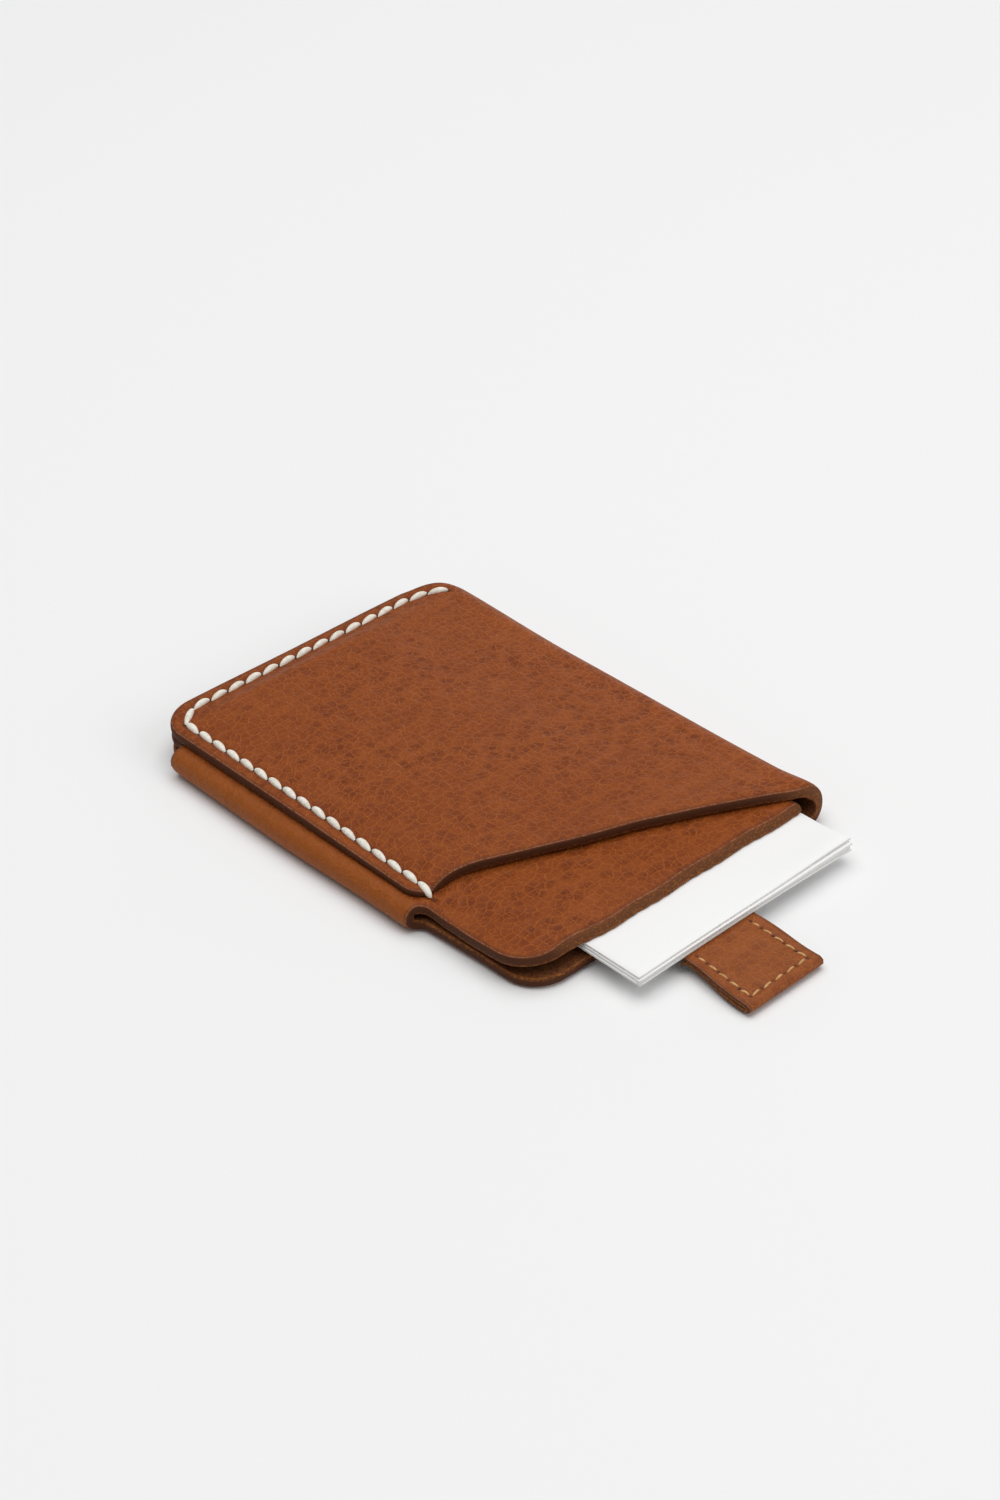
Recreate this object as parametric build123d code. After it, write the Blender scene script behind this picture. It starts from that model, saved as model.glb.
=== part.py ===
from build123d import *
from math import atan2, cos, degrees, sin
import os

# Card holder: one leather blank wrapped round a card pocket, closed by an L-shaped hand-sewn seam,
# with a pull strap that runs under the cards, round their inner ends and back to an anchor.
# Millimetres. X across the holder, -Y out of the mouth, +Z up, back panel resting on z = 0.

# Leather blank
LEATHER = 2.1
LEFT_FOLD_R = 2.65
RIGHT_FOLD_R = 4.15
RIGHT_FOLD_X = 32.35
LEFT_EDGE_X = -33.35
LEFT_FOLD_X = -34.4
FRONT_LEFT_X = -33.85
MIDDLE_RIGHT_X = 30.05
CLOSED_Y = 50.2
BACK_MOUTH_Y = -50.3
MIDDLE_MOUTH_Y = -48.2
RIGHT_FOLD_MOUTH_Y = -50.0
LEFT_FOLD_END_Y = -23.0
LEFT_FOLD_FAR_Y = 41.8
MOUTH_CORNER_R = 7.0
CLOSED_CORNER_R = 8.0
RIGHT_CORNER_R = 10.5
FRONT_NEAR_CORNER_R = 3.0
SLIT = [(-21.0, -25.8), (-8.0, -31.6), (RIGHT_FOLD_X, -49.3)]
SLIT_LEFT_Y = -22.9

# Pressed seam band at the closed end, and the ramp from the pocket down to it
RAMP_START_Y = 40.8
RAMP_END_Y = 44.8

# Seam
SEAM_X = -30.85
SEAM_Y = 47.3
STITCH = 4.0
LEFT_STITCHES = 17
CLOSED_STITCHES = 15
CORNER_STEP_X = 4.04
CORNER_STEP_Y = 3.2
SEAM_THREAD_W = 0.8
SEAM_THREAD_T = 0.4
SEAM_HOLE_R = 0.45
SEAM_GROOVE = 0.5
LEG_W = 0.5

# Cards
CARD_W = 50.8
CARD_L = 88.9
CARD_T = 0.4
CARD_GAP = 0.04
CARD_COUNT = 4
CARD_CORNER_R = 0.3
CARD_TURNS = [0.30, -0.20, 0.12, 0.42]
CARD_STEPS = [0.0, 0.25, -0.1, 0.35]
CARD_X = -20.75
CARD_FRONT_Y = -61.4
CARD_Z = 2.8

# Pull strap
STRAP_X = -11.35
STRAP_W = 17.6
RUN_T = 0.6
RUN_Z = 2.12
UPPER_Z = 4.57
TAB_LAYER = 1.0
TAB_Z = 0.4
TAB_FRONT_Y = -76.85
TAB_REAR_Y = -61.2
LOOP_END_Y = 35.05
ANCHOR_NEAR_Y = -16.7
ANCHOR_FAR_Y = -10.7

# Tab and anchor threads
TAB_ROW_INSET = 2.2
TAB_END_ROW_Y = -74.85
TAB_ROW_START_Y = -62.3
TAB_STITCHES_LONG = 5
TAB_STITCHES_END = 5
FINE_THREAD_W = 0.45
FINE_THREAD_T = 0.24
FINE_HOLE_R = 0.3
FINE_GROOVE = 0.3
FINE_LEG_W = 0.3
ANCHOR_ROW_Y = -13.7
ANCHOR_STITCHES = 6
ANCHOR_INSET = 2.0

# Section heights of the undersides of the middle and front panels, across the holder
LEFT_LAP_X = -27.35
CARD_SHOULDER_X = -21.85
BUMP_CLEARANCE = 0.3
BUMP_RAMP = 2.4
MIDDLE_LEFT_Z = 3.2
MIDDLE_CARD_Z = 4.58
MIDDLE_STRAP_Z = 5.25
LAYER_GAP = 0.05
ANCHOR_THREAD_ROOM = 0.45
FRONT_RIGHT_Z = 2 * RIGHT_FOLD_R - LEATHER

FAR = 200.0


def bump_xs():
    """X of the four corners of the raised strip over the pull strap."""
    left = STRAP_X - BUMP_CLEARANCE
    right = STRAP_X + STRAP_W + BUMP_CLEARANCE
    return left - BUMP_RAMP, left, right, right + BUMP_RAMP


def middle_underside(card_z, strap_z):
    """Underside of the middle panel as (x, z) points from left to right."""
    x1, x2, x3, x4 = bump_xs()
    left = [(LEFT_EDGE_X, MIDDLE_LEFT_Z), (LEFT_LAP_X, MIDDLE_LEFT_Z + LAYER_GAP)]
    middle = [(CARD_SHOULDER_X, card_z), (x1, card_z), (x2, strap_z), (x3, strap_z), (x4, card_z)]
    return left + middle + [(MIDDLE_RIGHT_X, card_z)]


def front_underside(card_z, strap_z):
    """Underside of the front panel, resting on the middle panel, down to the right fold."""
    on_middle = [(x, z + LEATHER + LAYER_GAP) for x, z in middle_underside(card_z, strap_z)]
    on_middle[0] = (FRONT_LEFT_X, on_middle[0][1])
    if strap_z > card_z:
        strap_edges = bump_xs()[1:3]
        on_middle = [(x, z + ANCHOR_THREAD_ROOM * (x in strap_edges)) for x, z in on_middle]
    return on_middle + [(RIGHT_FOLD_X, FRONT_RIGHT_Z)]


def section(underside, y):
    """One leather-thick cross-section standing at y."""
    top = [(x, z + LEATHER) for x, z in reversed(underside)]
    points = [Vector(x, y, z) for x, z in underside + top]
    return Face(Wire.make_polygon(points, close=True))


def panel(underside_of, mouth_y):
    """A panel lofted from the mouth, over the strap, and down to the pressed seam band."""
    flat = (MIDDLE_CARD_Z, MIDDLE_CARD_Z)
    raised = (MIDDLE_CARD_Z, MIDDLE_STRAP_Z)
    pressed = (MIDDLE_LEFT_Z + LAYER_GAP, MIDDLE_LEFT_Z + LAYER_GAP)
    stations = [
        (mouth_y, flat),
        (ANCHOR_NEAR_Y - BUMP_RAMP, flat),
        (ANCHOR_NEAR_Y, raised),
        (RAMP_START_Y, raised),
        (RAMP_END_Y, pressed),
        (CLOSED_Y, pressed),
    ]
    spans = []
    for (y0, levels0), (y1, levels1) in zip(stations, stations[1:]):
        ends = [section(underside_of(*levels0), y0), section(underside_of(*levels1), y1)]
        spans.append(Solid.make_loft([end.outer_wire() for end in ends], ruled=True))
    return spans[0].fuse(*spans[1:])


def plan_prism(points, corners):
    """A tall prism on a plan outline, with named corners rounded: corners maps index to radius."""
    prism = extrude(Face(Wire.make_polygon([Vector(x, y, 0) for x, y in points], close=True)), FAR)
    prism = Pos(0, 0, -FAR / 2) * prism
    for index, radius in corners.items():
        x, y = points[index]
        edge = prism.edges().filter_by(Axis.Z).sort_by_distance(Vector(x, y, 0))[0]
        prism = fillet(edge, radius)
    return prism


def block(x0, x1, y0, y1, z0, z1):
    """Axis-aligned block between two corners."""
    centre = Pos((x0 + x1) / 2, (y0 + y1) / 2, (z0 + z1) / 2)
    return centre * Box(x1 - x0, y1 - y0, z1 - z0)


def bar(start, end, width, z0, z1):
    """A flat thread bar between two plan points, one width long beyond each."""
    run = Vector(end[0] - start[0], end[1] - start[1], 0)
    turn = degrees(atan2(run.Y, run.X))
    centre = Pos((start[0] + end[0]) / 2, (start[1] + end[1]) / 2, (z0 + z1) / 2)
    return centre * Rot(0, 0, turn) * Box(run.length + width, width, z1 - z0)


def stitched_thread(rows, width, thick, leg_w, low_z, top_of):
    """Thread through each row of holes: bars above and below, and a leg in each hole."""
    shapes = []
    half = leg_w / 2
    for holes in rows:
        for start, end in zip(holes, holes[1:]):
            top = max(top_of(*start), top_of(*end))
            shapes.append(bar(start, end, width, top, top + thick))
            shapes.append(bar(start, end, width, low_z, low_z + thick))
        for i, hole in enumerate(holes):
            near = holes[max(i - 1, 0) : i + 2]
            top = max(top_of(*other) for other in near)
            x, y = hole
            shapes.append(block(x - half, x + half, y - half, y + half, low_z, top + thick))
    return shapes[0].fuse(*shapes[1:])


def closed_row_hole(distance):
    """A hole centre on the closed row, which bends round the right corner, by distance along it."""
    bend_x = RIGHT_FOLD_X + RIGHT_FOLD_R - RIGHT_CORNER_R
    bend_r = RIGHT_CORNER_R - (CLOSED_Y - SEAM_Y)
    straight = bend_x - SEAM_X
    if distance <= straight:
        return (SEAM_X + distance, SEAM_Y)
    angle = (distance - straight) / bend_r
    return (bend_x + bend_r * sin(angle), SEAM_Y - bend_r * (1 - cos(angle)))


def seam_holes():
    """Hole centres of the L seam, from the near left end round the corner to the right fold."""
    first_y = SEAM_Y - CORNER_STEP_Y
    left = [(SEAM_X, first_y - STITCH * i) for i in range(LEFT_STITCHES, -1, -1)]
    closed = [closed_row_hole(CORNER_STEP_X + STITCH * i) for i in range(CLOSED_STITCHES + 1)]
    return left + closed


def row_holes(start, end, stitches):
    """Evenly spaced hole centres from start to end."""
    share = [i / stitches for i in range(stitches + 1)]
    return [(start[0] + (end[0] - start[0]) * t, start[1] + (end[1] - start[1]) * t) for t in share]


def tab_holes():
    """Hole centres of the tab's U: down one side, across the end and back up the other side."""
    left = STRAP_X + TAB_ROW_INSET
    right = STRAP_X + STRAP_W - TAB_ROW_INSET
    down = row_holes((left, TAB_ROW_START_Y), (left, TAB_END_ROW_Y), TAB_STITCHES_LONG)
    across = row_holes((left, TAB_END_ROW_Y), (right, TAB_END_ROW_Y), TAB_STITCHES_END)
    back = row_holes((right, TAB_END_ROW_Y), (right, TAB_ROW_START_Y), TAB_STITCHES_LONG)
    return down + across[1:] + back[1:]


def anchor_holes():
    """Hole centres of the straight row that sews the strap's end to the middle panel."""
    left = (STRAP_X + ANCHOR_INSET, ANCHOR_ROW_Y)
    right = (STRAP_X + STRAP_W - ANCHOR_INSET, ANCHOR_ROW_Y)
    return row_holes(left, right, ANCHOR_STITCHES)


def drilled(shape, holes, radius):
    """The shape with a round hole through it at each hole centre."""
    pins = [Pos(x, y, 0) * Cylinder(radius, FAR) for x, y in holes]
    return shape.cut(*pins)


def grooved(shape, holes, width, z0, z1):
    """The shape with a stitch groove between z0 and z1 along the row of holes."""
    bars = [bar(start, end, width, z0, z1) for start, end in zip(holes, holes[1:])]
    return shape.cut(*bars)


def surface_height(x, underside):
    """Height of the top of a panel at x, read off its underside line."""
    for (x0, z0), (x1, z1) in zip(underside, underside[1:]):
        if x <= x1:
            share = max(x - x0, 0) / (x1 - x0)
            return z0 + (z1 - z0) * share + LEATHER
    return 2 * RIGHT_FOLD_R


def seam_top(x, y):
    """Top of the front panel under the seam thread."""
    pressed = MIDDLE_LEFT_Z + LAYER_GAP
    return surface_height(x, front_underside(pressed, pressed)) + LAYER_GAP


def back_panel():
    """Flat back panel with its mouth corner rounded."""
    outline = [
        (LEFT_EDGE_X, BACK_MOUTH_Y),
        (RIGHT_FOLD_X, BACK_MOUTH_Y),
        (RIGHT_FOLD_X, CLOSED_Y),
        (LEFT_EDGE_X, CLOSED_Y),
    ]
    plan = plan_prism(outline, {0: MOUTH_CORNER_R})
    slab = block(LEFT_EDGE_X, RIGHT_FOLD_X, BACK_MOUTH_Y, CLOSED_Y, 0, LEATHER)
    return slab & plan & closed_end()


def closed_end():
    """Prism that rounds both corners of the closed end."""
    right = RIGHT_FOLD_X + RIGHT_FOLD_R
    outline = [(FRONT_LEFT_X, -FAR), (right, -FAR), (right, CLOSED_Y), (FRONT_LEFT_X, CLOSED_Y)]
    return plan_prism(outline, {2: RIGHT_CORNER_R, 3: CLOSED_CORNER_R})


def half_tube(x, radius, side, y0, y1, lead):
    """Folded leather: a half tube about (x, radius), open towards -side, with flat leads."""
    outer = Pos(x, 0, radius) * Rot(90, 0, 0) * Cylinder(radius, FAR)
    inner = Pos(x, 0, radius) * Rot(90, 0, 0) * Cylinder(radius - LEATHER, FAR)
    far_x = x + side * radius
    half = block(min(x, far_x), max(x, far_x), y0, y1, 0, 2 * radius)
    fold = (outer - inner) & half
    if lead > 0:
        x0, x1 = sorted((x, x - side * lead))
        leads = [block(x0, x1, y0, y1, z, z + LEATHER) for z in (0, 2 * radius - LEATHER)]
        fold = fold.fuse(*leads)
    return fold


def left_fold():
    """Short fold between the back and middle panels."""
    lead = LEFT_EDGE_X - LEFT_FOLD_X
    return half_tube(LEFT_FOLD_X, LEFT_FOLD_R, -1, LEFT_FOLD_END_Y, LEFT_FOLD_FAR_Y, lead)


def right_fold():
    """Long round fold between the back and front panels."""
    return half_tube(RIGHT_FOLD_X, RIGHT_FOLD_R, 1, RIGHT_FOLD_MOUTH_Y, CLOSED_Y, 0) & closed_end()


def middle_panel():
    """Inner panel over the cards, its right edge tucked into the right fold."""
    outline = [
        (LEFT_EDGE_X, MIDDLE_MOUTH_Y),
        (RIGHT_FOLD_X, MIDDLE_MOUTH_Y),
        (RIGHT_FOLD_X, CLOSED_Y),
        (LEFT_EDGE_X, CLOSED_Y),
    ]
    plan = plan_prism(outline, {0: MOUTH_CORNER_R})
    return panel(middle_underside, MIDDLE_MOUTH_Y) & plan & closed_end()


def front_panel():
    """Outer panel, its near edge cut back diagonally to open the flat front pocket."""
    outline = [
        (FRONT_LEFT_X, SLIT_LEFT_Y),
        *SLIT,
        (RIGHT_FOLD_X, CLOSED_Y),
        (FRONT_LEFT_X, CLOSED_Y),
    ]
    plan = plan_prism(outline, {0: FRONT_NEAR_CORNER_R})
    return panel(front_underside, BACK_MOUTH_Y) & plan & closed_end()


def seam_thread():
    """Waxed thread of the L seam through all the leather."""
    low = SEAM_GROOVE - SEAM_THREAD_T - LAYER_GAP
    return stitched_thread([seam_holes()], SEAM_THREAD_W, SEAM_THREAD_T, LEG_W, low, seam_top)


def card(index):
    """One blank business card of the loosely squared stack, counted from the bottom."""
    z = CARD_Z + index * (CARD_T + CARD_GAP) + CARD_T / 2
    centre_y = CARD_FRONT_Y + CARD_L / 2 + CARD_STEPS[index]
    sheet = Box(CARD_W, CARD_L, CARD_T)
    sheet = fillet(sheet.edges().filter_by(Axis.Z), CARD_CORNER_R)
    return Pos(CARD_X + CARD_W / 2, centre_y, z) * Rot(0, 0, CARD_TURNS[index]) * sheet


def strap_strip(y0, y1, z):
    """A flat length of the pull strap."""
    return block(STRAP_X, STRAP_X + STRAP_W, y0, y1, z, z + RUN_T)


def loop_radius():
    """Outer radius of the strap's turn round the inner ends of the cards."""
    return (UPPER_Z + RUN_T - RUN_Z) / 2


def strap_loop():
    """The strap's turn from its lower run up to its upper run."""
    radius = loop_radius()
    spot = Pos(STRAP_X + STRAP_W / 2, LOOP_END_Y - radius, RUN_Z + radius) * Rot(0, 90, 0)
    ring = spot * Cylinder(radius, STRAP_W) - spot * Cylinder(radius - RUN_T, FAR)
    keep = block(-FAR, FAR, LOOP_END_Y - radius, LOOP_END_Y, 0, FAR)
    return ring & keep


def pull_tab():
    """The strap's end, folded under itself: two layers with a round front."""
    radius = TAB_LAYER
    front = TAB_FRONT_Y + radius
    body = block(STRAP_X, STRAP_X + STRAP_W, front, TAB_REAR_Y, TAB_Z, TAB_Z + 2 * TAB_LAYER)
    nose = Pos(STRAP_X + STRAP_W / 2, front, TAB_Z + radius) * Rot(0, 90, 0) * Cylinder(radius, STRAP_W)
    tab = drilled(body.fuse(nose), tab_holes(), FINE_HOLE_R)
    top = TAB_Z + 2 * TAB_LAYER
    tab = grooved(tab, tab_holes(), FINE_THREAD_W + LAYER_GAP, top - FINE_GROOVE, top)
    return grooved(tab, tab_holes(), FINE_THREAD_W + LAYER_GAP, TAB_Z, TAB_Z + FINE_GROOVE)


def tab_thread():
    """Machine-sewn U of fine thread, sunk into the tab."""
    top = TAB_Z + 2 * TAB_LAYER - FINE_GROOVE + LAYER_GAP / 2
    low = TAB_Z + FINE_GROOVE - FINE_THREAD_T - LAYER_GAP / 2
    rows = [tab_holes()]
    return stitched_thread(rows, FINE_THREAD_W, FINE_THREAD_T, FINE_LEG_W, low, lambda x, y: top)


def strap_anchor():
    """The strap's inner end, sewn under the middle panel."""
    strip = drilled(strap_strip(ANCHOR_NEAR_Y, ANCHOR_FAR_Y, UPPER_Z), anchor_holes(), FINE_HOLE_R)
    return grooved(strip, anchor_holes(), FINE_THREAD_W + LAYER_GAP, UPPER_Z, UPPER_Z + FINE_GROOVE)


def anchor_thread():
    """Fine thread holding the strap's inner end to the middle panel."""
    top = MIDDLE_STRAP_Z + LEATHER + LAYER_GAP
    low = UPPER_Z + LAYER_GAP / 2
    rows = [anchor_holes()]
    return stitched_thread(rows, FINE_THREAD_W, FINE_THREAD_T, FINE_LEG_W, low, lambda x, y: top)


def leather_nodes():
    """The five stretches of the blank, holed and grooved for their threads."""
    groove_w = SEAM_THREAD_W + LAYER_GAP
    stretches = {
        "wrap_back_panel": back_panel(),
        "wrap_left_fold": left_fold(),
        "wrap_middle_panel": middle_panel(),
        "wrap_right_fold": right_fold(),
        "wrap_front_panel": front_panel(),
    }
    for name, shape in stretches.items():
        holed = drilled(shape, seam_holes(), SEAM_HOLE_R)
        stretches[name] = grooved(holed, seam_holes(), groove_w, 0, SEAM_GROOVE)
    stretches["wrap_middle_panel"] = drilled(stretches["wrap_middle_panel"], anchor_holes(), FINE_HOLE_R)
    return stretches


def all_nodes():
    """Every node of the holder by name."""
    nodes = leather_nodes()
    nodes["seam_thread"] = seam_thread()
    loop_start = LOOP_END_Y - loop_radius()
    nodes["pull_tab"] = pull_tab()
    nodes["tab_thread"] = tab_thread()
    nodes["strap_lower_run"] = strap_strip(TAB_REAR_Y, loop_start, RUN_Z)
    nodes["strap_loop"] = strap_loop()
    nodes["strap_upper_run"] = strap_strip(ANCHOR_FAR_Y, loop_start, UPPER_Z)
    nodes["strap_anchor"] = strap_anchor()
    nodes["anchor_thread"] = anchor_thread()
    for index in range(CARD_COUNT):
        nodes[f"card_{index + 1}"] = card(index)
    return nodes


os.makedirs("parts", exist_ok=True)
for node_name, node_shape in all_nodes().items():
    export_step(node_shape, f"parts/{node_name}.step")
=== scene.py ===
# %% [markdown]
# # A folded leather card holder
# One blank of thick, pebbled leather is wrapped round a pocket of cards and closed by one L of hand
# stitching. A strap with a folded tab runs under the cards. This lesson builds each piece around a finished
# mechanical model, the frame, which already holds every size, body and sliding joint.

# %% Load the frame
import math
import bpy
import numpy as np
from mathutils import Matrix, Vector
from mathutils.geometry import delaunay_2d_cdt


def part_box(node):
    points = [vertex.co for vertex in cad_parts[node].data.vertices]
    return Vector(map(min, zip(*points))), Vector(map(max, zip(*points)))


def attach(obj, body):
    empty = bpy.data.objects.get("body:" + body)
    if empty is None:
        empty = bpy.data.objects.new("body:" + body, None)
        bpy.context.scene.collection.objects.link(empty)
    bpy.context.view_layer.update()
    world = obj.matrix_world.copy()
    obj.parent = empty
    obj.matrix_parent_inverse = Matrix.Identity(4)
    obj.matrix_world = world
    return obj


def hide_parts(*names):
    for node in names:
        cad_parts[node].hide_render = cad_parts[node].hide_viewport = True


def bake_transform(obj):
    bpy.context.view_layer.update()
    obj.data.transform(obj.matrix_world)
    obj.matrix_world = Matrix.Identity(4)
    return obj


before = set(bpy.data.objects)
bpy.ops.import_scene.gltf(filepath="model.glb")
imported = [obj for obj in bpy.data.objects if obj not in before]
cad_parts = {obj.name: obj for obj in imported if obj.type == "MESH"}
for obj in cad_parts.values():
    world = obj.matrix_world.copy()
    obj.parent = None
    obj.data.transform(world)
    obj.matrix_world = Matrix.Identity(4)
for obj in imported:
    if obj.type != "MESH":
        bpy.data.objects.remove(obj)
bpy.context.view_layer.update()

MM = 0.001
UV_PER_MM = 0.01
CELL_RANDOMNESS = 0.85
scene = bpy.context.scene


def box_mm(node):
    """Lowest and highest corner of a frame node, in millimetres."""
    low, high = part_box(node)
    return np.array(low) / MM, np.array(high) / MM


# %% [markdown]
# ## The camera first
# A small object looks right only from the distance a person would hold it at. The camera stands about half
# a metre away with a short telephoto lens. It looks down at 35 degrees and is rolled slightly, as a hand-held
# one is. Its matrix is written as turns about Z and X and a last roll about its own axis.

# %% Camera
LENS, SENSOR_WIDTH = 62.4, 36
TURN, TILT, ROLL = 40.95, 35.23, -2.56
CAMERA_AT = Vector((-0.2423, -0.2858, 0.2722))

camera_data = bpy.data.cameras.new("camera")
camera_data.lens = LENS
camera_data.sensor_width = SENSOR_WIDTH
camera_data.clip_start, camera_data.clip_end = 0.01, 20
camera = bpy.data.objects.new("camera", camera_data)
scene.collection.objects.link(camera)



def rotation(degrees, axis):
    """Rotation matrix about one axis."""
    return Matrix.Rotation(math.radians(degrees), 4, axis)


aim = rotation(-TURN, "Z") @ rotation(90 - TILT, "X")
camera.matrix_world = Matrix.Translation(CAMERA_AT) @ aim @ rotation(ROLL, "Z")
scene.camera = camera
print("camera", [round(c, 3) for c in CAMERA_AT], "lens", LENS)

# %% [markdown]
# ## Floor and light
# The object lies on a pale sheet under one wide soft lamp straight above, so only a thin shadow hugs it. A
# weak small lamp low behind puts a sheen on the far fold, and a broad one in front lifts the cut edges. The
# world stays dim: a bright one would lay a grey veil over the leather. Nothing here is part of the object.

# %% Any node, and socket arithmetic
def feed(tree, socket, value):
    """Links an output to a socket, or sets the socket's own value."""
    source = value.socket if isinstance(value, Value) else value
    if isinstance(source, bpy.types.NodeSocket):
        tree.links.new(source, socket)
    else:
        socket.default_value = source


def add_node(tree, kind, settings=None, **sockets):
    """Adds a node and applies its settings, then fills its sockets, by name or, written i0, by number."""
    made = tree.nodes.new(kind)
    for name, value in (settings or {}).items():
        setattr(made, name, value)
    for name, value in sockets.items():
        key = int(name[1:]) if name[1:].isdigit() else name.replace("_", " ")
        feed(tree, made.inputs[key], value)
    return made


class Value:
    """Wraps a shader socket so that Python expressions build the Math nodes."""

    def __init__(self, tree, socket):
        self.tree = tree
        self.socket = socket

    def math(self, operation, other):
        made = add_node(self.tree, "ShaderNodeMath", {"operation": operation}, i0=self, i1=other)
        return Value(self.tree, made.outputs[0])

    def __add__(self, other):
        return self.math("ADD", other)

    def __sub__(self, other):
        return self.math("SUBTRACT", other)

    def __mul__(self, other):
        return self.math("MULTIPLY", other)

    def __truediv__(self, other):
        return self.math("DIVIDE", other)

    def __rsub__(self, other):
        return self.math("MULTIPLY", -1.0).math("ADD", other)

    __radd__ = __add__
    __rmul__ = __mul__

    def clamp(self):
        return self.math("MINIMUM", 1.0).math("MAXIMUM", 0.0)

    def step(self, low, high):
        """Smooth ramp from 0 at low to 1 at high."""
        t = ((self - low) / (high - low)).clamp()
        return t * t * (3.0 - t * 2.0)


class Paint:
    """A new material: one method adds any node, and the rest name the nodes used most."""

    def __init__(self, name):
        self.material = bpy.data.materials.new(name)
        self.material.use_nodes = True
        self.tree = self.material.node_tree
        self.shader = self.tree.nodes["Principled BSDF"]

    def node(self, kind, out=0, settings=None, **sockets):
        """One output of a new node."""
        return Value(self.tree, add_node(self.tree, kind, settings, **sockets).outputs[out])

    def blend(self, factor, first, second):
        """Colour mix: first where factor is 0, second where it is 1."""
        return self.node("ShaderNodeMix", 2, {"data_type": "RGBA"}, i0=factor, i6=first, i7=second)

    def noise(self, where, scale, detail=2.0, rough=0.5):
        return self.node("ShaderNodeTexNoise", Vector=where, Scale=scale, Detail=detail, Roughness=rough)

    def attribute(self, name):
        return self.node("ShaderNodeAttribute", 2, {"attribute_name": name})

    def vector(self, operation, first, second):
        """Vector Math on a coordinate."""
        return self.node("ShaderNodeVectorMath", 0, {"operation": operation}, i0=first, i1=second)

    def scaled(self, where, *factors):
        """Multiplies a coordinate by three factors, or by one in every direction."""
        return self.vector("MULTIPLY", where, factors if len(factors) == 3 else factors * 3)

    def warped(self, where, scale, amount):
        """Pushes a coordinate about with a coloured noise."""
        push = self.node("ShaderNodeTexNoise", 1, Vector=where, Scale=scale, Detail=1.0)
        return self.vector("ADD", where, self.scaled(push, amount))

    def cells(self, where, scale, feature="F1"):
        """Distance in a Voronoi pattern: from cell centres, or from the lines between cells."""
        kind = {"feature": feature, "voronoi_dimensions": "2D"}
        sizes = {"Scale": scale, "Randomness": CELL_RANDOMNESS}
        return self.node("ShaderNodeTexVoronoi", 0, kind, Vector=where, **sizes)

    def flat_mm(self):
        """The piece's own flat coordinates, in millimetres."""
        return self.scaled(self.node("ShaderNodeUVMap", 0, {"uv_map": "flat"}), 1 / UV_PER_MM)

    def object_mm(self):
        """Object coordinates, in millimetres."""
        return self.scaled(self.node("ShaderNodeTexCoord", 3), 1 / MM)

    def bump(self, height, distance, strength):
        self.set(Normal=self.node("ShaderNodeBump", Strength=strength, Distance=distance, Height=height))

    def set(self, **values):
        for name, value in values.items():
            feed(self.tree, self.shader.inputs[name.replace("_", " ")], value)
        return self.material


# %% Floor
FLOOR_SIZE = 6.0
FLOOR_Z = -0.0002
floor_mesh = bpy.data.meshes.new("floor")
corners = [(x * FLOOR_SIZE / 2, y * FLOOR_SIZE / 2, 0) for x, y in ((-1, -1), (1, -1), (1, 1), (-1, 1))]
floor_mesh.from_pydata(corners, [], [(0, 1, 2, 3)])
floor = bpy.data.objects.new("floor", floor_mesh)
scene.collection.objects.link(floor)
floor.location.z = FLOOR_Z
sheet_paint = Paint("pale_sheet")
floor_mesh.materials.append(sheet_paint.set(Base_Color=(0.86, 0.86, 0.86, 1), Roughness=0.9))

# %% Lights
WORLD_STRENGTH = 0.24
world = bpy.data.worlds.new("world")
scene.world = world
world.use_nodes = True
sky = world.node_tree.nodes["Background"].inputs
sky["Color"].default_value = (1, 1, 1, 1)
sky["Strength"].default_value = WORLD_STRENGTH


def soft_lamp(name, at, size, power):
    """A square area lamp aimed at the object."""
    data = bpy.data.lights.new(name, "AREA")
    data.size = size
    data.energy = power
    lamp = bpy.data.objects.new(name, data)
    lamp.location = at
    lamp.rotation_euler = Vector(at).to_track_quat("Z", "Y").to_euler()
    scene.collection.objects.link(lamp)


soft_lamp("top_lamp", (0.1, 0.15, 1.8), 2.2, 33.0)
soft_lamp("back_lamp", (0.9, 0.72, 0.15), 0.26, 0.6)
soft_lamp("front_lamp", (0.5, -1.3, 0.8), 1.0, 6.5)
scene.view_settings.view_transform = "Standard"

# %% [markdown]
# ## The leather wrap as one folded sheet
# The real wrap is a single flat blank, so it is drawn flat: an outline of straight and round stretches in
# the blank's own plane, filled with triangles. A function then folds each flat point to its place, front
# panel to right fold to back panel to left fold to middle panel. Building it flat keeps the grain running
# round the folds and makes every cut edge a cut edge.

# %% Sizes from the frame
back_low, back_high = box_mm("wrap_back_panel")
left_low, left_high = box_mm("wrap_left_fold")
right_low, right_high = box_mm("wrap_right_fold")
front_low, _ = box_mm("wrap_front_panel")
middle_low, middle_high = box_mm("wrap_middle_panel")
_, top_card_high = box_mm("card_4")
run_low, run_high = box_mm("strap_lower_run")
upper_low, upper_high = box_mm("strap_upper_run")
tab_low, tab_high = box_mm("pull_tab")

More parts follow.
